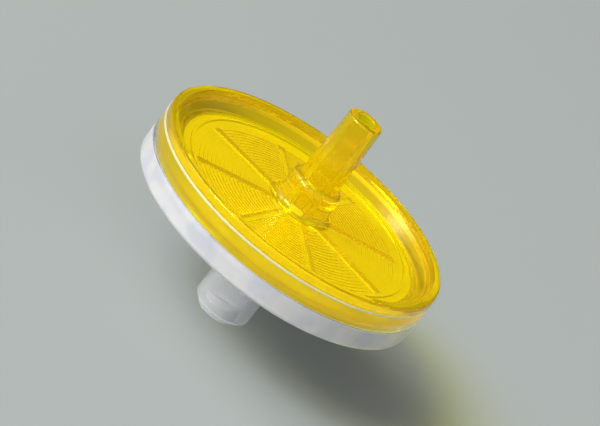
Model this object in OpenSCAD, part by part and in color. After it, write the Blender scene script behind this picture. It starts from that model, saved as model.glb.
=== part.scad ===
// Syringe filter: a clear cup with a female luer inlet below, a yellow cover
// with a male luer outlet above, and a round membrane clamped between the two.
// +Z runs along the axis from the inlet to the outlet. The origin is the centre
// of the inlet's end face.

/* [Cup] */
// Outer diameter of the cup
cup_d = 34.1; // [31:0.1:46]
// Thickness of the cup's rim
cup_wall = 0.85; // [0.6:0.05:1.4]
// Thickness of the cup's floor
cup_floor = 1.25; // [0.8:0.05:2.5]
// Height of the inlet chamber, from its floor to the membrane
chamber_h = 1.15; // [0.8:0.05:2.5]
// Width of the shelf that carries the membrane's edge
shelf_w = 2.1; // [1.8:0.1:3]
// Depth of the cup above its shelf, filled by the cover's plug
plug_h = 2.55; // [2.1:0.05:4.5]
// Radius of the cup's lower outer edge
cup_edge_r = 0.5; // [0.2:0.05:0.9]
// Lead-in chamfer inside the cup's mouth
cup_chamfer = 0.5; // [0.2:0.05:0.6]

/* [Cover] */
// Radial clearance between the cover's plug and the cup
plug_clear = 0.05; // [0.02:0.01:0.15]
// Width of the step round the plug's lower end
lead_w = 0.12; // [0.05:0.01:0.3]
// Height of the plug's stepped lower end
lead_h = 0.75; // [0.3:0.05:1.2]
// Height of the cover's lip above the cup's rim
lip_h = 1.05; // [0.7:0.05:2]
// Set-back of the lip from the cup's outer wall
lip_inset = 0.05; // [0:0.05:0.3]
// Width of the lip's top, rounded edge included
lip_w = 0.9; // [0.6:0.05:1.5]
// Radius of the lip's upper outer edge
lip_edge_r = 0.35; // [0.1:0.05:0.5]
// Width of the chamfer inside the lip
lip_chamfer_w = 0.55; // [0.2:0.05:0.8]
// Height of the chamfer inside the lip
lip_chamfer_h = 0.45; // [0.2:0.05:0.6]
// Depth of the recess below the lip's top
recess_h = 1.72; // [1.2:0.02:2.4]
// Lean of the recess wall, from its foot to its top
recess_lean = 1.15; // [0.5:0.05:2]
// Radius at the foot of the recess wall
recess_foot_r = 0.3; // [0.1:0.05:0.5]
// Rise of the plate towards the nozzle
plate_rise = 0.3; // [0:0.05:0.8]
// Distance from the foot of the recess wall to the ring on the plate
ring_inset = 0.85; // [0.5:0.05:1.5]
// Width of the ring on the plate
ring_w = 0.4; // [0.3:0.05:0.8]
// Height of the ring on the plate
ring_h = 0.1; // [0.05:0.01:0.3]
// Width of the weld seat outside the membrane
weld_w = 1.35; // [0.9:0.05:1.6]

/* [Outlet nozzle] */
// Outer diameter at the nozzle's tip
tip_d = 3.98; // [3.3:0.02:6]
// Length of the tapered nozzle above its collar
tip_l = 8.35; // [6:0.05:12]
// Luer taper, as change of diameter over length
luer_taper = 0.06; // [0:0.005:0.08]
// Radius of the nozzle's end
tip_edge_r = 0.32; // [0.1:0.02:0.5]
// Width of the rounded shoulder from the nozzle out to its collar
shoulder_w = 0.8; // [0.3:0.05:1.4]
// Height of the collar's top above the cover's lip
collar_h = 2.05; // [1.2:0.05:4]
// Radius at the collar's foot
collar_foot_r = 1.1; // [0.3:0.1:1.6]
// Diameter of the nozzle's bore
bore_d = 2.2; // [1.2:0.05:2.8]
// Countersink at the mouth of the bore
bore_bevel = 0.1; // [0.05:0.01:0.25]

/* [Drainage] */
// Number of radial channels under the cover, and of ribs in the cup
channel_n = 8; // [4:1:10]
// Direction of the first channel, in degrees
channel_turn = 26; // [0:1:90]
// Width of a channel
channel_w = 0.9; // [0.5:0.05:1.5]
// Height of a channel above the membrane
channel_h = 0.45; // [0.3:0.05:0.9]
// Distance from the ring on the plate to the channels' outer ends
channel_inset = 0.7; // [0.3:0.05:2]
// How far a channel reaches past the outermost groove
channel_over = 0.2; // [0.1:0.05:0.5]
// Distance from one ring groove to the next
groove_pitch = 0.5; // [0.4:0.05:1.5]
// Width of a ring groove
groove_w = 0.25; // [0.15:0.01:0.35]
// Height of the ring grooves above the membrane
groove_h = 0.1; // [0.05:0.05:0.4]
// Diameter of the well under the nozzle
well_d = 4.4; // [3:0.1:5.8]
// How much higher than the channels the well is
well_over = 0.4; // [0.1:0.05:0.4]
// Width of the ribs and rings in the cup
rib_w = 0.6; // [0.4:0.05:1]
// Gap between the ribs in the cup and the membrane
rib_gap = 0.25; // [0.1:0.05:0.5]
// Number of rings in the cup
rib_ring_n = 3; // [1:1:5]

/* [Membrane] */
// Thickness of the membrane
membrane_t = 0.13; // [0.08:0.01:0.2]
// Gap between the membrane's edge and the weld seat
membrane_gap = 0.15; // [0.05:0.05:0.3]

/* [Inlet] */
// Length of the inlet below the cup
inlet_l = 10; // [9:0.1:14]
// Outer diameter of the inlet
inlet_d = 6.5; // [6:0.1:7.4]
// Diameter of the luer socket at its mouth
socket_d = 4.3; // [4:0.02:4.6]
// Depth of the luer socket
socket_l = 9.8; // [7.5:0.1:9.9]
// Bevel at the socket's mouth
socket_bevel = 0.15; // [0.05:0.05:0.3]
// Diameter of the port from the socket to the chamber
port_d = 1.6; // [1:0.1:3]
// How far the two locking lugs stand out from the inlet
lug_w = 0.67; // [0.4:0.01:1]
// Height of a lug at its outer end
lug_h = 1.45; // [1:0.05:2.5]
// Rise of a lug's top towards the inlet
lug_rise = 0.6; // [0:0.05:0.8]
// Angle that a lug's outer end covers, in degrees
lug_arc = 40; // [20:1:70]
// How much sooner a lug's side ends than a true tangent would, in degrees
lug_side = 4; // [2:1:10]
// How far a lug's side ends inside the inlet's wall
lug_sink = 0.06; // [0.04:0.01:0.2]
// Direction of the first lug, in degrees
lug_turn = 264; // [180:1:360]
// Radius of the inlet's end edge
inlet_edge_r = 0.35; // [0.1:0.05:0.5]
// Radius where the inlet meets the cup
inlet_foot_r = 0.8; // [0.3:0.1:2]

/* [Hidden] */
$fn = 128;
eps = 0.01;

z_under = inlet_l;                        // underside of the cup
z_floor = z_under + cup_floor;            // floor of the inlet chamber
z_shelf = z_floor + chamber_h;            // underside of the membrane
z_plate = z_shelf + membrane_t;           // top of the membrane
z_rim = z_shelf + plug_h;                 // top of the cup, underside of the lip
z_lip = z_rim + lip_h;                    // top of the lip
z_recess = z_lip - recess_h;              // foot of the recess wall
z_hub = z_recess + plate_rise;            // plate at the collar's foot
z_collar = z_lip + collar_h;              // top of the collar's shoulder
z_tip = z_collar + tip_l;                 // end of the nozzle

cup_r = cup_d / 2;
mouth_r = cup_r - cup_wall;               // inside of the cup's rim
chamber_r = mouth_r - shelf_w;            // inside of the membrane's shelf
plug_r = mouth_r - plug_clear;
weld_r = mouth_r - weld_w;                // inside of the weld seat
membrane_r = weld_r - membrane_gap;
lip_r = cup_r - lip_inset;
land_r = lip_r - lip_w;                   // inner edge of the lip's top
throat_r = land_r - lip_chamfer_w;        // top of the recess wall
recess_r = throat_r - recess_lean;        // foot of the recess wall
ring_r = recess_r - ring_inset;           // outside of the ring on the plate
field_r = ring_r - ring_w;                // outside of the plate's middle field
channel_r = field_r - channel_inset;      // outer ends of the channels
tip_r = tip_d / 2;
bore_r = bore_d / 2;
root_r = tip_r + luer_taper * tip_l / 2;  // nozzle where it leaves the collar
collar_r = root_r + shoulder_w;
well_r = well_d / 2;
inlet_r = inlet_d / 2;
lug_r = inlet_r + lug_w;
socket_r = socket_d / 2;
socket_end_r = socket_r - luer_taper * socket_l / 2;
port_r = port_d / 2;

well_h = channel_h + well_over;           // height of the well above the membrane
groove_r = channel_r - channel_over;      // outside of the outermost groove
groove_n = floor((groove_r - collar_r) / groove_pitch);
rib_ring_step = (chamber_r - inlet_r) / rib_ring_n;

// Points of a circular arc about [x, y], from one angle to another.
function arc(x, y, r, from, to, steps = 6) =
    [for (i = [0:steps]) let (a = from + (to - from) * i / steps)
        [x + r * cos(a), y + r * sin(a)]];

// A flat ring about the axis.
module ring(inner, outer, low, high) {
    rotate_extrude() polygon([[inner, low], [outer, low], [outer, high], [inner, high]]);
}

// Copies of a child at even angles about the axis.
module around(count, turn) {
    for (i = [0:count - 1]) rotate(turn + i * 360 / count) children();
}

// One locking lug: a piece of a ring whose sides run out almost tangent to the inlet.
module lug() {
    inner = (socket_r + inlet_r) / 2;
    reach = lug_arc / 2 + acos(inlet_r / lug_r) - lug_side;
    corner = lug_r * [cos(lug_arc / 2), sin(lug_arc / 2)];
    foot = (inlet_r - lug_sink) * [cos(reach), sin(reach)];
    far = 2 * corner - foot;
    intersection() {
        rotate_extrude()
            polygon([[inner, 0], [lug_r - inlet_edge_r, 0], [lug_r, inlet_edge_r], [lug_r, lug_h],
                     [inlet_r - eps, lug_h + lug_rise], [inner, lug_h + lug_rise]]);
        translate([0, 0, -1]) linear_extrude(lug_h + lug_rise + 2)
            polygon([[0, 0], foot, far, [far.x, -far.y], [foot.x, -foot.y]]);
    }
}

// Outline of the cup and its inlet, from the port outwards, without ribs.
module cup_outline() {
    polygon(concat(
        [[port_r, z_floor], [port_r, socket_l], [socket_end_r, socket_l],
         [socket_r, socket_bevel], [socket_r + socket_bevel, 0]],
        arc(inlet_r - inlet_edge_r, inlet_edge_r, inlet_edge_r, -90, 0, 4),
        arc(inlet_r + inlet_foot_r, z_under - inlet_foot_r, inlet_foot_r, 180, 90),
        arc(cup_r - cup_edge_r, z_under + cup_edge_r, cup_edge_r, -90, 0),
        [[cup_r, z_rim], [mouth_r + cup_chamfer, z_rim], [mouth_r, z_rim - cup_chamfer],
         [mouth_r, z_shelf], [chamber_r, z_shelf], [chamber_r, z_floor]]));
}

// Clear lower half: the inlet, the chamber with its ribs, and the outer wall.
module inlet_housing() {
    rib_top = z_shelf - rib_gap;
    color([0.88, 0.9, 0.93, 0.6]) {
        rotate_extrude() cup_outline();
        around(2, lug_turn) lug();
        around(channel_n, channel_turn)
            translate([inlet_r, -rib_w / 2, z_floor - eps])
                cube([chamber_r - inlet_r + eps, rib_w, rib_top - z_floor + eps]);
        for (i = [0:rib_ring_n - 1])
            ring(inlet_r + i * rib_ring_step, inlet_r + i * rib_ring_step + rib_w,
                 z_floor - eps, rib_top);
    }
}

// Outline of the cover, from the bore outwards, without grooves.
module cover_outline() {
    polygon(concat(
        [[bore_r, z_plate], [bore_r, z_tip - bore_bevel], [bore_r + bore_bevel, z_tip]],
        arc(tip_r - tip_edge_r, z_tip - tip_edge_r, tip_edge_r, 90, 0),
        arc(root_r, z_collar - shoulder_w, shoulder_w, 90, 0),
        arc(collar_r + collar_foot_r, z_hub + collar_foot_r, collar_foot_r, 180, 270, 8),
        [[field_r, z_recess], [field_r, z_recess + ring_h], [ring_r, z_recess + ring_h],
         [ring_r, z_recess]],
        arc(recess_r - recess_foot_r, z_recess + recess_foot_r, recess_foot_r, -90, -45, 3),
        [[throat_r, z_lip - lip_chamfer_h], [land_r, z_lip]],
        arc(lip_r - lip_edge_r, z_lip - lip_edge_r, lip_edge_r, 90, 0),
        [[lip_r, z_rim], [plug_r, z_rim], [plug_r, z_shelf + lead_h + lead_w],
         [plug_r - lead_w, z_shelf + lead_h], [plug_r - lead_w, z_shelf],
         [weld_r, z_shelf], [weld_r, z_plate]]));
}

// Yellow upper half: the plug, the lip, the recessed plate and the nozzle.
// Ring grooves and radial channels drain its underside into the bore.
module outlet_housing() {
    color([0.96, 0.83, 0.02, 0.8]) difference() {
        rotate_extrude() cover_outline();
        translate([0, 0, z_plate - eps]) cylinder(r = well_r, h = well_h + eps);
        around(channel_n, channel_turn)
            translate([0, -channel_w / 2, z_plate - eps])
                cube([channel_r, channel_w, channel_h + eps]);
        for (i = [0:groove_n - 1])
            ring(groove_r - i * groove_pitch - groove_w, groove_r - i * groove_pitch,
                 z_plate - eps, z_plate + groove_h);
    }
}

// White membrane, clamped at its edge between the shelf and the cover.
module filter_membrane() {
    color("white") translate([0, 0, z_shelf]) cylinder(r = membrane_r, h = membrane_t);
}

inlet_housing();
outlet_housing();
filter_membrane();
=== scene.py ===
import math

import bmesh
import bpy
from mathutils import Matrix, Vector


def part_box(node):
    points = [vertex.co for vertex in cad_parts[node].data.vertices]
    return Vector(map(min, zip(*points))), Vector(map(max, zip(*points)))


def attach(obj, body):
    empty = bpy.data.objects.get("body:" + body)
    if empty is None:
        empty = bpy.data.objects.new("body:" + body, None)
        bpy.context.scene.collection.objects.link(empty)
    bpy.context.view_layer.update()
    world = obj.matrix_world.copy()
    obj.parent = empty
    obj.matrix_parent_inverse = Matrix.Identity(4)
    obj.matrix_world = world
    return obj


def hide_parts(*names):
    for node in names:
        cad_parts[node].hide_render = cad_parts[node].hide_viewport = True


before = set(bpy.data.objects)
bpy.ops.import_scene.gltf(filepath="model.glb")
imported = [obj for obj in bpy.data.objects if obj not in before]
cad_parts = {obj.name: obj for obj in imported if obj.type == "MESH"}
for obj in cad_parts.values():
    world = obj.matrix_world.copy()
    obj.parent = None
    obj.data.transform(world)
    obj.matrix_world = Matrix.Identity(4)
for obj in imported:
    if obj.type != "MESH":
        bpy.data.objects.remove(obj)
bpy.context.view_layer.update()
mm = 0.001

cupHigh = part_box("inlet_housing")[1] / mm
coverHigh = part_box("outlet_housing")[1] / mm
sheetLow, sheetHigh = (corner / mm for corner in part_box("filter_membrane"))
shelfLevel = sheetLow.z        # top of the shelf that the membrane lies on
plateLevel = sheetHigh.z       # underside of the cover's plate
rimLevel = cupHigh.z           # top of the cup's wall
hairline = 0.01                # air left where two pieces touch
overlap = 0.1                  # how far joined shapes run into each other, and slack when faces are picked
weldDistance = 1e-7            # metres
turnSegments = 192
drainage = {"channels": 8, "firstChannel": 26, "channelWidth": 0.9, "channelHeight": 0.45}
print("frame loaded:", ", ".join(sorted(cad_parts)))


straight = math.radians(88)    # a corner whose half angle is over this is left as it is
shortEdgeShare = 0.98
stepsPerRadian = 6             # on a rounding of 1 mm


# Corners are (radius, height, rounding) in millimetres, in order round the section.
def roundedOutline(corners):
    outline = []
    for i, (x, z, rounding) in enumerate(corners):
        here = Vector((x, z))
        lastOne, nextOne = corners[i - 1], corners[(i + 1) % len(corners)]
        before = Vector(lastOne[:2]) - here
        after = Vector(nextOne[:2]) - here
        half = before.angle(after) / 2
        if rounding == 0 or half > straight:
            outline.append(here)
            continue
        reach = min(rounding / math.tan(half),           # the larger rounding gets more of a short edge
                    shortEdgeShare * before.length * rounding / (rounding + lastOne[2]),
                    shortEdgeShare * after.length * rounding / (rounding + nextOne[2]))
        radius = reach * math.tan(half)
        centre = here + (before.normalized() + after.normalized()).normalized() * radius / math.sin(half)
        start = here + before.normalized() * reach - centre
        turn = start.angle_signed(here + after.normalized() * reach - centre)
        steps = max(2, round(abs(turn) * math.sqrt(radius) * stepsPerRadian))
        outline += [centre + Matrix.Rotation(-turn * k / steps, 2) @ start for k in range(steps + 1)]
    return outline


def newObject(name, mesh):
    made = bpy.data.objects.new(name, mesh)
    bpy.context.scene.collection.objects.link(made)
    return made


# ---- geometry nodes
def newTree(name, inputs):
    tree = bpy.data.node_groups.new(name, "GeometryNodeTree")
    tree.interface.new_socket("Geometry", in_out="INPUT", socket_type="NodeSocketGeometry")
    for label, kind in inputs.items():
        tree.interface.new_socket(label, in_out="INPUT", socket_type="NodeSocket" + kind)
    tree.interface.new_socket("Geometry", in_out="OUTPUT", socket_type="NodeSocketGeometry")
    return tree, tree.nodes.new("NodeGroupInput").outputs


# Adds a node. A value that is a socket is linked, any other is set.
def addNode(tree, kind, values=None, **settings):
    made = tree.nodes.new(kind)
    for key, value in settings.items():
        setattr(made, key, value)
    for key, value in (values or {}).items():
        for one in value if isinstance(value, list) else [value]:
            if isinstance(one, bpy.types.NodeSocket):
                tree.links.new(one, made.inputs[key])
            else:
                made.inputs[key].default_value = one
    return made


def maths(tree, operation, a, b):
    return addNode(tree, "ShaderNodeMath", {0: a, 1: b}, operation=operation).outputs[0]


def vector(tree, x, y, z):
    return addNode(tree, "ShaderNodeCombineXYZ", {0: x, 1: y, 2: z}).outputs[0]


def finishTree(tree, geometry, material):
    whole = addNode(tree, "GeometryNodeRealizeInstances", {0: geometry}).outputs[0]
    painted = addNode(tree, "GeometryNodeSetMaterial", {"Geometry": whole, "Material": material})
    addNode(tree, "NodeGroupOutput", {0: painted.outputs[0]})


# Turns an outline, drawn with its origin on the turning circle, round the axis.
def turningTree():
    tree, given = newTree("turning", {"Radius": "Float", "Segments": "Int", "Material": "Material"})
    outline = addNode(tree, "GeometryNodeMeshToCurve", {0: given["Geometry"]}).outputs[0]
    circle = addNode(tree, "GeometryNodeCurvePrimitiveCircle",
                     {"Radius": given["Radius"], "Resolution": given["Segments"]}).outputs[0]
    turned = addNode(tree, "GeometryNodeCurveToMesh", {"Curve": circle, "Profile Curve": outline}).outputs[0]
    merged = addNode(tree, "GeometryNodeMergeByDistance", {0: turned, "Distance": weldDistance}).outputs[0]
    finishTree(tree, merged, given["Material"])
    return tree


# Sets copies of a shape round the axis, as instances.
def copiesRound(tree, shape, count, turn):
    points = addNode(tree, "GeometryNodeMeshLine",
                     {"Count": count, "Start Location": (0, 0, 0), "Offset": (0, 0, 0)}).outputs[0]
    index = addNode(tree, "GeometryNodeInputIndex").outputs[0]
    step = maths(tree, "DIVIDE", math.tau, count)
    angle = maths(tree, "ADD", maths(tree, "MULTIPLY", index, step), turn)
    return addNode(tree, "GeometryNodeInstanceOnPoints",
                   {"Points": points, "Instance": shape, "Rotation": vector(tree, 0, 0, angle)}).outputs[0]


# Joins copies of another object, set round the axis, to a turned body.
def addAroundTree():
    tree, given = newTree("addAround", {"Shape": "Object", "Count": "Int", "First Angle": "Float",
                                        "Material": "Material"})
    shape = addNode(tree, "GeometryNodeObjectInfo", {"Object": given["Shape"]}).outputs["Geometry"]
    copies = copiesRound(tree, shape, given["Count"], given["First Angle"])
    solid = addNode(tree, "GeometryNodeRealizeInstances", {0: copies}).outputs[0]
    joined = addNode(tree, "GeometryNodeMeshBoolean", {"Mesh 2": [given["Geometry"], solid]},
                     operation="UNION", solver="MANIFOLD").outputs[0]
    finishTree(tree, joined, given["Material"])
    return tree


# Cuts ring grooves, radial channels and a round well into the underside of a plate.
def drainageTree():
    tree, given = newTree("drainage", {
        "Plate Level": "Float", "Outer Radius": "Float", "Ring Count": "Int", "Ring Pitch": "Float",
        "Ring Width": "Float", "Ring Height": "Float", "Channel Count": "Int", "Channel Width": "Float",
        "Channel Height": "Float", "Channel Start": "Float", "Channel End": "Float",
        "First Angle": "Float", "Well Radius": "Float", "Well Height": "Float", "Segments": "Int",
        "Material": "Material"})
    level = given["Plate Level"]
    drop = maths(tree, "MULTIPLY", level, -1)

    section = addNode(tree, "GeometryNodeCurvePrimitiveQuadrilateral",
                      {"Width": given["Ring Width"],
                       "Height": maths(tree, "MULTIPLY", given["Ring Height"], 2)}).outputs[0]
    inset = maths(tree, "MULTIPLY", given["Ring Width"], -0.5)
    places = addNode(tree, "GeometryNodeMeshLine",
                     {"Count": given["Ring Count"], "Start Location": vector(tree, inset, drop, 0),
                      "Offset": vector(tree, maths(tree, "MULTIPLY", given["Ring Pitch"], -1), 0, 0)})
    sections = addNode(tree, "GeometryNodeInstanceOnPoints",
                       {"Points": places.outputs[0], "Instance": section})
    sections = addNode(tree, "GeometryNodeRealizeInstances", {0: sections.outputs[0]}).outputs[0]
    circle = addNode(tree, "GeometryNodeCurvePrimitiveCircle",
                     {"Radius": given["Outer Radius"], "Resolution": given["Segments"]}).outputs[0]
    rings = addNode(tree, "GeometryNodeCurveToMesh", {"Curve": circle, "Profile Curve": sections}).outputs[0]

    length = maths(tree, "SUBTRACT", given["Channel End"], given["Channel Start"])
    middle = maths(tree, "MULTIPLY", maths(tree, "ADD", given["Channel End"], given["Channel Start"]), 0.5)
    tall = maths(tree, "MULTIPLY", given["Channel Height"], 2)
    bar = addNode(tree, "GeometryNodeMeshCube", {"Size": vector(tree, length, given["Channel Width"], tall)})
    bar = addNode(tree, "GeometryNodeTransform",
                  {"Geometry": bar.outputs[0], "Translation": vector(tree, middle, 0, level)}).outputs[0]
    bars = copiesRound(tree, bar, given["Channel Count"], given["First Angle"])
    bars = addNode(tree, "GeometryNodeRealizeInstances", {0: bars}).outputs[0]

    deep = maths(tree, "MULTIPLY", given["Well Height"], 2)
    well = addNode(tree, "GeometryNodeMeshCylinder",
                   {"Vertices": given["Segments"], "Radius": given["Well Radius"], "Depth": deep})
    well = addNode(tree, "GeometryNodeTransform",
                   {"Geometry": well.outputs[0], "Translation": vector(tree, 0, 0, level)}).outputs[0]

    body = given["Geometry"]
    for tool in (rings, bars, well):
        body = addNode(tree, "GeometryNodeMeshBoolean", {"Mesh 1": body, "Mesh 2": tool},
                       operation="DIFFERENCE", solver="MANIFOLD").outputs[0]
    finishTree(tree, body, given["Material"])
    return tree


# Keeps what the modifiers make as a plain mesh.
def bakeModifiers(thing):
    bpy.context.view_layer.update()
    made = bpy.data.meshes.new_from_object(thing.evaluated_get(bpy.context.evaluated_depsgraph_get()))
    thing.modifiers.clear()
    thing.data = made


def runTree(thing, tree, values):
    modifier = thing.modifiers.new(tree.name, "NODES")
    modifier.node_group = tree
    for item in tree.interface.items_tree:
        if item.in_out == "INPUT" and item.name in values:
            modifier[item.identifier] = values[item.name]
    bakeModifiers(thing)


def turnOutline(name, corners, material):
    outline = roundedOutline(corners)
    if sum(a.cross(b) for a, b in zip(outline, outline[1:] + outline[:1])) > 0:
        outline.reverse()
    radius = max(point.x for point in outline)
    points = [((point.x - radius) * mm, -point.y * mm, 0) for point in outline]
    mesh = bpy.data.meshes.new(name)
    mesh.from_pydata(points, [(i, (i + 1) % len(points)) for i in range(len(points))], [])
    turned = newObject(name, mesh)
    runTree(turned, turning, {"Radius": radius * mm, "Segments": turnSegments, "Material": material})
    return turned


# Welds, drops stray edges, turns the faces outwards and keeps crisp corners crisp.
def tidyMesh(thing, cornerAngle=32):
    mesh = bmesh.new()
    mesh.from_mesh(thing.data)
    bmesh.ops.remove_doubles(mesh, verts=mesh.verts, dist=weldDistance)
    bmesh.ops.dissolve_degenerate(mesh, edges=mesh.edges, dist=weldDistance / 10)
    strays = [edge for edge in mesh.edges if edge.is_wire]
    bmesh.ops.delete(mesh, geom=strays, context="EDGES")
    bmesh.ops.recalc_face_normals(mesh, faces=mesh.faces)
    if mesh.calc_volume(signed=True) < 0:
        bmesh.ops.reverse_faces(mesh, faces=mesh.faces)
    for face in mesh.faces:
        face.smooth = True
    openEdges = sum(not edge.is_manifold for edge in mesh.edges)
    size = mesh.calc_volume() / mm ** 3
    mesh.to_mesh(thing.data)
    mesh.free()
    thing.data.set_sharp_from_angle(angle=math.radians(cornerAngle))
    # large faces keep their own direction
    leaning = thing.modifiers.new("faceNormals", "WEIGHTED_NORMAL")
    leaning.keep_sharp = True
    leaning.weight = 100
    bakeModifiers(thing)
    print(f"{thing.name}: {len(thing.data.polygons)} faces, {size:.0f} mm3, {openEdges} open edges")


turning = turningTree()
addAround = addAroundTree()
drainagePattern = drainageTree()


# ---- materials
def newMaterial(name):
    material = bpy.data.materials.new(name)
    material.use_nodes = True
    material.node_tree.nodes.clear()
    return material, material.node_tree


grainFineness = 22
smoothest = 0.01
cloudEdges = (0.38, 0.62)


# Faint unevenness of a moulded or pressed face: height, roughness and cloud that change over it.
def skinGroup():
    tree = bpy.data.node_groups.new("mouldedSkin", "ShaderNodeTree")
    for label in ("Scale", "Wave", "Grain", "Roughness", "Smudge"):
        tree.interface.new_socket(label, in_out="INPUT", socket_type="NodeSocketFloat")
    for label in ("Height", "Roughness", "Cloud"):
        tree.interface.new_socket(label, in_out="OUTPUT", socket_type="NodeSocketFloat")
    given = tree.nodes.new("NodeGroupInput").outputs
    place = addNode(tree, "ShaderNodeTexCoord").outputs["Object"]
    broad = addNode(tree, "ShaderNodeTexNoise",
                    {"Vector": place, "Scale": given["Scale"], "Detail": 2.0})
    fineScale = maths(tree, "MULTIPLY", given["Scale"], grainFineness)
    fine = addNode(tree, "ShaderNodeTexNoise", {"Vector": place, "Scale": fineScale, "Detail": 3.0})
    height = maths(tree, "ADD", maths(tree, "MULTIPLY", broad.outputs[0], given["Wave"]),
                   maths(tree, "MULTIPLY", fine.outputs[0], given["Grain"]))
    smudge = maths(tree, "MULTIPLY", maths(tree, "SUBTRACT", broad.outputs[0], 0.5), given["Smudge"])
    rough = maths(tree, "MAXIMUM", maths(tree, "ADD", given["Roughness"], smudge), smoothest)
    cloud = addNode(tree, "ShaderNodeMapRange",
                    {"Value": broad.outputs[0], "From Min": cloudEdges[0], "From Max": cloudEdges[1]},
                    interpolation_type="SMOOTHSTEP").outputs[0]
    addNode(tree, "NodeGroupOutput", {"Height": height, "Roughness": rough, "Cloud": cloud})
    return tree


mouldedSkin = skinGroup()


def addSkin(tree, settings):
    skin = addNode(tree, "ShaderNodeGroup", node_tree=mouldedSkin)
    for label, value in settings.items():
        skin.inputs[label].default_value = value
    bump = addNode(tree, "ShaderNodeBump",
                   {"Height": skin.outputs["Height"], "Distance": mm, "Strength": 1.0})
    return skin.outputs["Roughness"], bump.outputs[0], skin.outputs["Cloud"]


def mixColour(tree, share, plain, other):
    mix = addNode(tree, "ShaderNodeMix", {0: share, 6: plain, 7: (*other, 1)}, data_type="RGBA")
    return mix.outputs[2]


# Clear or dyed plastic. Light for what lies behind it passes straight through.
def plasticMaterial(name, look):
    material, tree = newMaterial(name)
    rough, normal, cloud = addSkin(tree, look["skin"])
    colour = (*look["colour"], 1)
    for label, (roughness, tone) in look.get("zones", {}).items():
        share = addNode(tree, "ShaderNodeAttribute", attribute_name=label).outputs["Fac"]
        rough = maths(tree, "ADD", rough, maths(tree, "MULTIPLY", share, roughness))
        colour = mixColour(tree, share, colour, tone)
    if "cloudy" in look:
        colour = mixColour(tree, cloud, colour, look["cloudy"])
    shell = addNode(tree, "ShaderNodeBsdfPrincipled", {
        "Base Color": colour, "Roughness": rough, "Normal": normal, "IOR": look["ior"],
        "Specular IOR Level": look["shine"], "Specular Tint": (*look["tint"], 1),
        "Transmission Weight": look["clearness"]})
    passing = addNode(tree, "ShaderNodeBsdfTransparent", {"Color": (*look["passes"], 1)})
    path = addNode(tree, "ShaderNodeLightPath").outputs
    surface = shell
    for ray in ("Is Diffuse Ray", "Is Shadow Ray"):
        surface = addNode(tree, "ShaderNodeMixShader",
                          {0: path[ray], 1: surface.outputs[0], 2: passing.outputs[0]})
    outputs = {"Surface": surface.outputs[0]}
    if "dye" in look:
        dye = addNode(tree, "ShaderNodeVolumeAbsorption",
                      {"Color": (*look["dye"], 1), "Density": look["density"]})
        outputs["Volume"] = dye.outputs[0]
    addNode(tree, "ShaderNodeOutputMaterial", outputs)
    return material


yellowLook = {
    "colour": (1.0, 0.80, 0.01),
    "clearness": 0.88,
    "ior": 1.5,
    "shine": 0.3,
    "tint": (1.0, 0.9, 0.3),
    "passes": (0.95, 0.94, 0.3),
    "dye": (0.998, 0.985, 0.0),
    "density": 1500.0,
    "zones": {
        "frosting": (0.25, (1.0, 0.97, 0.01)),
        # painted shade: the nozzle is painted a darker yellow than the rest of the cover
        "shading": (0.02, (0.86, 0.74, 0.01)),
        # painted shade: the recess wall is painted a deeper, darker amber than the plate
        "warming": (0.05, (1.0, 0.62, 0.01)),
    },
    "skin": {"Scale": 160.0, "Wave": 0.006, "Grain": 0.0002, "Roughness": 0.06, "Smudge": 0.05},
}
clearLook = {
    "colour": (0.98, 0.98, 0.99),
    "clearness": 1.0,
    "ior": 1.49,
    "shine": 0.2,
    "tint": (0.4, 0.4, 0.42),
    "passes": (0.97, 0.97, 0.98),
    "skin": {"Scale": 140.0, "Wave": 0.008, "Grain": 0.0003, "Roughness": 0.05, "Smudge": 0.04},
}
stemLook = clearLook | {
    "colour": (0.93, 0.94, 1.0),
    "clearness": 0.75,
    "shine": 0.5,
    "tint": (1.0, 1.0, 1.0),
    "skin": {"Scale": 200.0, "Wave": 0.01, "Grain": 0.0005, "Roughness": 0.05, "Smudge": 0.06},
}
satinLook = clearLook | {
    "colour": (0.77, 0.78, 0.86),
    "cloudy": (0.90, 0.88, 0.90),
    "clearness": 0.5,
    "passes": (0.6, 0.6, 0.61),
    "skin": {"Scale": 400.0, "Wave": 0.01, "Grain": 0.003, "Roughness": 0.35, "Smudge": 0.15},
}
rimLook = clearLook | {
    "skin": satinLook["skin"],
    # painted light: the clear rim's cream-yellow cast stands in for yellow light from the yellow lip next to
    # it
    "colour": (0.97, 0.93, 0.72),
    "clearness": 0.6,
}
sheetLook = {
    "colour": (0.9, 0.9, 0.88),
    "shine": 0.2,
    "skin": {"Scale": 300.0, "Wave": 0.01, "Grain": 0.003, "Roughness": 0.85, "Smudge": 0.1},
}


def sheetMaterial(look):
    material, tree = newMaterial("porousSheet")
    rough, normal = addSkin(tree, look["skin"])[:2]
    cloth = addNode(tree, "ShaderNodeBsdfPrincipled", {
        "Base Color": (*look["colour"], 1), "Roughness": rough, "Normal": normal,
        "Specular IOR Level": look["shine"]})
    addNode(tree, "ShaderNodeOutputMaterial", {"Surface": cloth.outputs[0]})
    return material


yellowPlastic = plasticMaterial("yellowPlastic", yellowLook)
clearPlastic = plasticMaterial("clearPlastic", clearLook)
stemPlastic = plasticMaterial("stemPlastic", stemLook)
satinPlastic = plasticMaterial("satinPlastic", satinLook)
rimPlastic = plasticMaterial("rimPlastic", rimLook)
porousSheet = sheetMaterial(sheetLook)
print("materials made")


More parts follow.
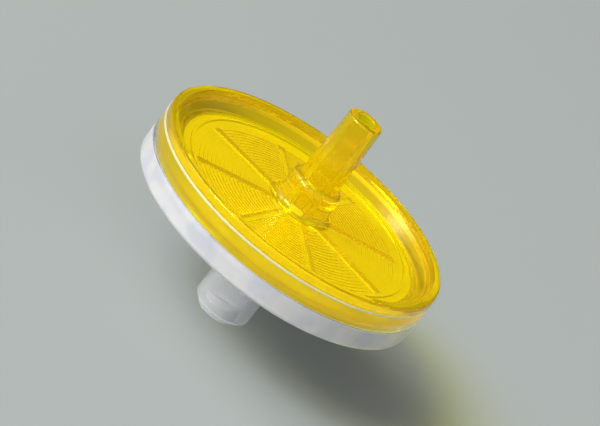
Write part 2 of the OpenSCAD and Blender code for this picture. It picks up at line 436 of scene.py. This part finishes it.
# ---- clear cup with its inlet
cup = {
    "radius": cupHigh.x,
    "wall": 0.85,
    "floor": 1.25,
    "underside": 10.0,
    "shelfWidth": 2.1,
    "lowerEdge": 0.5,
    "mouthChamfer": 0.5,
    "rimBand": 0.22,
    "satinOver": 0.2,
    "inletRadius": 3.25,
    "inletEdge": 0.35,
    "inletFoot": 0.8,
    "socketRadius": 2.15,
    "socketEndRadius": 1.856,
    "socketDepth": 9.8,
    "socketBevel": 0.15,
    "portRadius": 0.8,
    "lugWidth": 0.67,
    "lugHeight": 1.42,
    "lugRise": 0.6,
    "lugArc": 40,
    "lugSide": 4,
    "lugSink": 0.06,
    "lugClimb": 0.009,
    "lugSlices": 32,
    "lugBlur": 9,
    "lugRoot": 0.05,
    "firstLug": 264,
    "lugEdge": 0.14,
    "ribWidth": 0.6,
    "ribGap": 0.25,
    "ribStart": 0.3,
    "ringCount": 3,
    "mouthSlack": 0.02,
}


def cupOutline(c):
    mouth = c["radius"] - c["wall"]
    chamber = mouth - c["shelfWidth"]
    floorTop = c["underside"] + c["floor"]
    ribTop = shelfLevel - c["ribGap"]
    step = (chamber - c["inletRadius"]) / c["ringCount"]
    corners = [
        (c["portRadius"], floorTop, 0.1),
        (c["portRadius"], c["socketDepth"], 0.1),
        (c["socketEndRadius"], c["socketDepth"], 0.15),
        (c["socketRadius"], c["socketBevel"], 0.05),
        (c["socketRadius"] + c["socketBevel"], 0, 0.05),
        (c["inletRadius"], 0, c["inletEdge"]),
        (c["inletRadius"], c["underside"], c["inletFoot"]),
        (c["radius"], c["underside"], c["lowerEdge"]),
        (c["radius"], shelfLevel + c["satinOver"], 0),
        (c["radius"], rimLevel - c["rimBand"], 0),
        (c["radius"], rimLevel - hairline, 0.06),
        (mouth + c["mouthChamfer"], rimLevel - hairline, 0.06),
        (mouth, rimLevel - c["mouthChamfer"], 0.08),
        (mouth, shelfLevel - hairline, 0.06),
        (chamber, shelfLevel - hairline, 0.06),
        (chamber, floorTop, 0.2),
    ]
    for i in reversed(range(c["ringCount"])):          # low rings on the chamber's floor
        inner = c["inletRadius"] + i * step
        corners += [(inner + c["ribWidth"], floorTop, 0.1), (inner + c["ribWidth"], ribTop, 0.08),
                    (inner, ribTop, 0.08), (inner, floorTop, 0.1)]
    return corners


sharpOver = math.radians(40)
edgeSegments = 4


# Joins rows of points into a closed block and rounds its sharp edges.
def blockObject(name, rows, edge=0.0):
    mesh = bmesh.new()
    rows = [[mesh.verts.new([part * mm for part in place]) for place in row] for row in rows]
    count = len(rows[0])
    for one, two in zip(rows, rows[1:]):
        for i in range(count):
            n = (i + 1) % count
            mesh.faces.new((one[i], one[n], two[n], two[i]))
    mesh.faces.new(rows[0])
    mesh.faces.new(reversed(rows[-1]))
    bmesh.ops.recalc_face_normals(mesh, faces=mesh.faces)
    if edge:
        sharp = [e for e in mesh.edges if e.calc_face_angle(0) > sharpOver]
        bmesh.ops.bevel(mesh, geom=sharp, offset=edge * mm, segments=edgeSegments, profile=0.5,
                        affect="EDGES")
    made = bpy.data.meshes.new(name)
    mesh.to_mesh(made)
    mesh.free()
    return newObject(name, made)


# A locking lug. Its sides run out almost tangent to the inlet and its top climbs like a thread.
def makeLug(c):
    inside = (c["socketRadius"] + c["inletRadius"]) / 2
    outer = c["inletRadius"] + c["lugWidth"]
    half = math.radians(c["lugArc"] / 2)
    reach = half + math.acos(c["inletRadius"] / outer) - math.radians(c["lugSide"])
    corner = outer * Vector((math.cos(half), math.sin(half)))
    side = (c["inletRadius"] - c["lugSink"]) * Vector((math.cos(reach), math.sin(reach))) - corner

    def radiusAt(angle):
        way = Vector((math.cos(angle), math.sin(abs(angle))))
        return outer if abs(angle) <= half else corner.cross(side) / way.cross(side)

    rows = []
    blur = math.radians(c["lugBlur"])
    for k in range(c["lugSlices"] + 1):
        angle = reach * (2 * k / c["lugSlices"] - 1)
        radius = sum(radiusAt(angle + blur * step / 4) for step in range(-4, 5)) / 9
        top = c["lugHeight"] + c["lugClimb"] * math.degrees(angle)
        slope = c["lugRise"] / c["lugWidth"]
        root = c["inletRadius"] - c["lugSink"] - c["lugRoot"]
        row = [(inside, hairline), (radius, hairline), (radius, top + slope * (outer - radius)),
               (root, top + c["lugRise"]), (inside, top + c["lugRise"])]
        rows.append([(r * math.cos(angle), r * math.sin(angle), z) for r, z in row])
    return blockObject("lug", rows, c["lugEdge"])


def makeCup(c):
    body = turnOutline("clearCup", cupOutline(c), clearPlastic)
    lug = makeLug(c)
    runTree(body, addAround, {"Shape": lug, "Count": 2, "First Angle": math.radians(c["firstLug"]),
                              "Material": clearPlastic})
    chamber = c["radius"] - c["wall"] - c["shelfWidth"]
    start, end = c["inletRadius"] + c["ribStart"], chamber + overlap
    low, high = c["underside"] + c["floor"] - overlap, shelfLevel - c["ribGap"] - hairline
    rib = blockObject("rib", [[(start, y, low), (end, y, low), (end, y, high), (start, y, high)]
                              for y in (-c["ribWidth"] / 2, c["ribWidth"] / 2)])
    runTree(body, addAround, {"Shape": rib, "Count": drainage["channels"],
                              "First Angle": math.radians(drainage["firstChannel"]),
                              "Material": clearPlastic})
    for tool in (lug, rib):
        bpy.data.objects.remove(tool)
    tidyMesh(body)
    for other in (satinPlastic, stemPlastic, rimPlastic):
        body.data.materials.append(other)
    # the grip band and the shelf are satin, the inlet is milky and the wall's top is frosted, with painted
    # yellow light from the lip
    for face in body.data.polygons:
        middle = face.center / mm
        reach = middle.xy.length
        if reach > c["radius"] - c["lowerEdge"] and middle.z < shelfLevel + c["satinOver"]:
            face.material_index = 1
        elif reach > chamber and abs(middle.z - shelfLevel) < overlap:
            face.material_index = 1
        elif middle.z < c["underside"]:
            face.material_index = 2
        elif middle.z > rimLevel - c["rimBand"]:
            face.material_index = 3
        elif middle.z > rimLevel - c["mouthChamfer"] - c["mouthSlack"] and reach < c["radius"] - overlap:
            face.material_index = 3
    return body


clearCup = makeCup(cup)


# ---- yellow cover with its nozzle
cover = {
    "tipLevel": coverHigh.z,
    "lipLevel": 16.0,
    "lipRadius": coverHigh.x,
    "lipWidth": 0.9,
    "lipEdge": 0.35,
    "lipChamferWidth": 0.55,
    "lipChamferHeight": 0.45,
    "recess": 1.72,
    "recessLean": 1.15,
    "recessFoot": 0.3,
    "plateRise": 0.3,
    "ringInset": 0.85,
    "ringWidth": 0.4,
    "ringHeight": 0.1,
    "plugWeld": 0.02,                 # sunk into the wall, so no air shows between the two
    "leadWidth": 0.12,
    "leadHeight": 0.75,
    "weldWidth": 1.3,
    "tipRadius": 1.99,
    "tipEdge": 0.32,
    "nozzleLength": 8.35,
    "taper": 0.06,
    "shoulder": 0.8,
    "collarFoot": 1.1,
    "boreRadius": 1.1,
    "boreBevel": 0.1,
    "wellRadius": 2.2,
    "wellHeight": 0.85,
    "channelStart": 0.75,             # as a share of the well's radius
    "channelInset": 0.7,
    "channelOver": 0.2,
    "groovePitch": 0.5,
    "grooveWidth": 0.25,
    "grooveHeight": 0.1,
    "sideSlack": 0.03,
    "plugFrosting": 1.0,
    "paintedNozzleShadeShare": 1.0,
    "undersideFrosting": 0.2,
    "paintedRecessShadeShare": 1.0,
}


def coverOutline(c):
    land = c["lipRadius"] - c["lipWidth"]
    throat = land - c["lipChamferWidth"]
    foot = throat - c["recessLean"]
    ring = foot - c["ringInset"]
    field = ring - c["ringWidth"]
    plate = c["lipLevel"] - c["recess"]
    root = c["tipRadius"] + c["taper"] * c["nozzleLength"] / 2
    collar = root + c["shoulder"]
    collarTop = c["tipLevel"] - c["nozzleLength"]
    plug = cup["radius"] - cup["wall"] + c["plugWeld"]
    corners = [
        (c["boreRadius"], plateLevel, 0),
        (c["boreRadius"], c["tipLevel"] - c["boreBevel"], 0.03),
        (c["boreRadius"] + c["boreBevel"], c["tipLevel"], 0.04),
        (c["tipRadius"], c["tipLevel"], c["tipEdge"]),
        (root, collarTop, 0.02),
        (collar, collarTop, c["shoulder"]),
        (collar, plate + c["plateRise"], c["collarFoot"]),
        (field, plate, 0.03),
        (field, plate + c["ringHeight"], 0.04),
        (ring, plate + c["ringHeight"], 0.04),
        (ring, plate, 0.03),
        (foot, plate, c["recessFoot"]),
        (throat, c["lipLevel"] - c["lipChamferHeight"], 0.12),
        (land, c["lipLevel"], 0.12),
        (c["lipRadius"], c["lipLevel"], c["lipEdge"]),
        (c["lipRadius"], rimLevel, 0.06),
        (plug, rimLevel, 0.05),
        (plug, shelfLevel + c["leadHeight"] + c["leadWidth"], 0.04),
        (plug - c["leadWidth"], shelfLevel + c["leadHeight"], 0.04),
        (plug - c["leadWidth"], shelfLevel, 0.06),
        (plug - c["weldWidth"], shelfLevel, 0.03),
        (plug - c["weldWidth"], plateLevel, 0.03),
    ]
    return corners, field, collar, foot, land


def makeCover(c):
    corners, field, collar, foot, land = coverOutline(c)
    body = turnOutline("yellowCover", corners, yellowPlastic)
    channelEnd = field - c["channelInset"]
    grooveRadius = channelEnd - c["channelOver"]
    runTree(body, drainagePattern, {
        "Plate Level": plateLevel * mm, "Outer Radius": grooveRadius * mm,
        "Ring Count": int((grooveRadius - collar) / c["groovePitch"]),
        "Ring Pitch": c["groovePitch"] * mm,
        "Ring Width": c["grooveWidth"] * mm, "Ring Height": c["grooveHeight"] * mm,
        "Channel Count": drainage["channels"], "Channel Width": drainage["channelWidth"] * mm,
        "Channel Height": drainage["channelHeight"] * mm,
        "Channel Start": c["wellRadius"] * c["channelStart"] * mm, "Channel End": channelEnd * mm,
        "First Angle": math.radians(drainage["firstChannel"]), "Well Radius": c["wellRadius"] * mm,
        "Well Height": c["wellHeight"] * mm, "Segments": turnSegments, "Material": yellowPlastic})
    tidyMesh(body)
    plug = cup["radius"] - cup["wall"] + c["plugWeld"] - c["leadWidth"]
    plate = c["lipLevel"] - c["recess"]
    zones = {label: body.data.attributes.new(label, "FLOAT", "FACE") for label in yellowLook["zones"]}
    for face in body.data.polygons:
        middle = face.center / mm
        reach = middle.xy.length
        if reach > plug - c["sideSlack"] and middle.z < rimLevel:
            label, share = "frosting", c["plugFrosting"]
        # the nozzle above the collar's foot is painted darker: painted shade
        elif reach < collar + overlap and middle.z > plate + c["collarFoot"] / 2:
            label, share = "shading", c["paintedNozzleShadeShare"]
        elif middle.z < plate - overlap:
            label, share = "frosting", c["undersideFrosting"]
        # the recess wall between foot and land is painted a darker amber: painted shade
        elif foot < reach < land and middle.z > plate + overlap:
            label, share = "warming", c["paintedRecessShadeShare"]
        else:
            continue
        zones[label].data[face.index].value = share
    return body


yellowCover = makeCover(cover)


# ---- white membrane
membrane = {"radius": sheetHigh.x, "air": 0.015, "edge": 0.03, "rings": 24}


# Pressed flat between the halves, and a little crowned where nothing holds its edge.
def makeMembrane(m):
    low, high = sheetLow.z + m["air"], sheetHigh.z - m["air"]
    mesh = bmesh.new()
    loops = []
    outline = [(m["radius"] * k / m["rings"], high) for k in range(1, m["rings"])]
    inner = m["radius"] - m["edge"]
    outline += [(inner, high), (m["radius"], (low + high) / 2), (inner, low)]
    outline += [(m["radius"] * k / m["rings"], low) for k in reversed(range(1, m["rings"]))]
    for r, z in outline:
        loops.append([mesh.verts.new((r * math.cos(a) * mm, r * math.sin(a) * mm, z * mm))
                      for a in (math.tau * k / turnSegments for k in range(turnSegments))])
    for one, two in zip(loops, loops[1:]):
        for k in range(turnSegments):
            n = (k + 1) % turnSegments
            mesh.faces.new((one[k], two[k], two[n], one[n]))
    for loop, z in ((loops[0], high), (loops[-1], low)):
        pole = mesh.verts.new((0, 0, z * mm))
        for k in range(turnSegments):
            mesh.faces.new((pole, loop[k], loop[(k + 1) % turnSegments]))
    made = bpy.data.meshes.new("porousDisc")
    mesh.to_mesh(made)
    mesh.free()
    made.materials.append(porousSheet)
    disc = newObject("porousDisc", made)
    tidyMesh(disc)
    return disc


porousDisc = makeMembrane(membrane)

for piece, node, slotName in ((clearCup, "inlet_housing", "clear_plastic"),
                              (yellowCover, "outlet_housing", "yellow_plastic"),
                              (porousDisc, "filter_membrane", "membrane")):
    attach(piece, "root")
    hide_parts(node)
print("pieces made")


# ---- floor, light and camera
stageLook = {
    "grey": (0.352, 0.379, 0.369),
    "floorSize": 6.0,
    "bright": (-0.5, -0.7, 0.05),
    "edges": (-0.45, 1.0),
    "dim": 0.03,
    "full": 1.05,
    "window": (-0.74, -0.02, 0.67),
    "windowEdges": (0.93, 0.99),
    "windowLevel": 2.6,
    "lampEdges": (0.985, 0.998),
    "lampLevel": 6.0,
    "fill": (0.95, -0.1, 0.1),
    "fillEdges": (0.45, 1.0),
    "fillLevel": 0.5,
    "seen": 1.0,
}


def makeFloor(look):
    half = look["floorSize"] / 2
    mesh = bpy.data.meshes.new("floor")
    corners = [(-half, -half, 0), (half, -half, 0), (half, half, 0), (-half, half, 0)]
    mesh.from_pydata(corners, [], [(0, 1, 2, 3)])
    material, tree = newMaterial("floorGrey")
    matt = addNode(tree, "ShaderNodeBsdfDiffuse", {"Color": (*look["grey"], 1)})
    addNode(tree, "ShaderNodeOutputMaterial", {"Surface": matt.outputs[0]})
    mesh.materials.append(material)
    floor = newObject("floor", mesh)


# Light falls in softly from one side of the studio, and the far side stays dim.
def makeWorld(look):
    world = bpy.data.worlds.new("studio")
    bpy.context.scene.world = world
    world.use_nodes = True
    tree = world.node_tree
    tree.nodes.clear()
    way = addNode(tree, "ShaderNodeTexCoord").outputs["Generated"]
    level = 0.0
    for toward, edges, low, high in ((look["bright"], look["edges"], look["dim"], look["full"]),
                                     (look["window"], look["windowEdges"], 0.0, look["windowLevel"]),
                                     (look["window"], look["lampEdges"], 0.0, look["lampLevel"]),
                                     (look["fill"], look["fillEdges"], 0.0, look["fillLevel"])):
        facing = addNode(tree, "ShaderNodeVectorMath", {0: way, 1: Vector(toward).normalized()},
                         operation="DOT_PRODUCT").outputs["Value"]
        part = addNode(tree, "ShaderNodeMapRange",
                       {"Value": facing, "From Min": edges[0], "From Max": edges[1],
                        "To Min": low, "To Max": high},
                       interpolation_type="SMOOTHSTEP").outputs[0]
        level = maths(tree, "ADD", level, part)
    light = addNode(tree, "ShaderNodeBackground", {"Color": (1, 1, 1, 1), "Strength": level})
    seen = addNode(tree, "ShaderNodeBackground", {"Color": (*look["grey"], 1), "Strength": look["seen"]})
    path = addNode(tree, "ShaderNodeLightPath").outputs
    mix = light
    for ray in ("Is Transmission Ray", "Is Camera Ray"):
        mix = addNode(tree, "ShaderNodeMixShader", {0: path[ray], 1: mix.outputs[0], 2: seen.outputs[0]})
    addNode(tree, "ShaderNodeOutputWorld", {"Surface": mix.outputs[0]})


lampLook = {"direction": (-0.60, -0.53, 0.64), "distance": 1.8, "size": (0.8, 0.6), "level": 1.0}


# An oval lamp that faces the part. Level 1 renders a white face that looks at it as white.
def makeLamp(look):
    distance = look["distance"]
    lamp = bpy.data.lights.new("keyBox", "AREA")
    lamp.shape = "ELLIPSE"
    lamp.size, lamp.size_y = look["size"]
    lamp.energy = look["level"] * math.pi ** 2 * distance ** 2
    made = newObject("keyBox", lamp)
    way = Vector(look["direction"]).normalized()
    made.location = way * distance + Vector((0, 0, cup["underside"] * mm))
    made.rotation_euler = way.to_track_quat("Z", "Y").to_euler()


camera = {
    "elevation": 22.19,
    "roll": 38.125,
    "distance": 0.35,
    "aside": 0.88,
    "down": 1.905,
    "lens": 203.5,
    "sensor": 36,
    "nearest": 0.01,
}


def makeCamera(c):
    tilt, roll = math.radians(c["elevation"]), math.radians(c["roll"])
    back = Vector((0, -math.cos(tilt), math.sin(tilt)))
    up = Vector((0, math.sin(tilt), math.cos(tilt)))
    across = Vector((1, 0, 0))
    right = across * math.cos(roll) + up * math.sin(roll)
    top = up * math.cos(roll) - across * math.sin(roll)
    aim = Vector((0, 0, cover["lipLevel"] * mm)) - right * c["aside"] * mm - top * c["down"] * mm
    data = bpy.data.cameras.new("camera")
    data.lens = c["lens"]
    data.sensor_width = c["sensor"]
    data.clip_start = c["nearest"]
    made = newObject("camera", data)
    turned = Matrix((right, top, back)).transposed().to_4x4()
    made.matrix_world = Matrix.Translation(aim + back * c["distance"]) @ turned
    bpy.context.scene.camera = made


lightBounces = 24

makeFloor(stageLook)
makeWorld(stageLook)
makeLamp(lampLook)
makeCamera(camera)
scene = bpy.context.scene
scene.view_settings.view_transform = "Standard"
scene.cycles.max_bounces = lightBounces
scene.cycles.transmission_bounces = lightBounces
scene.cycles.transparent_max_bounces = lightBounces
scene.cycles.caustics_reflective = False
scene.cycles.caustics_refractive = False
print("stage, lights and camera made")
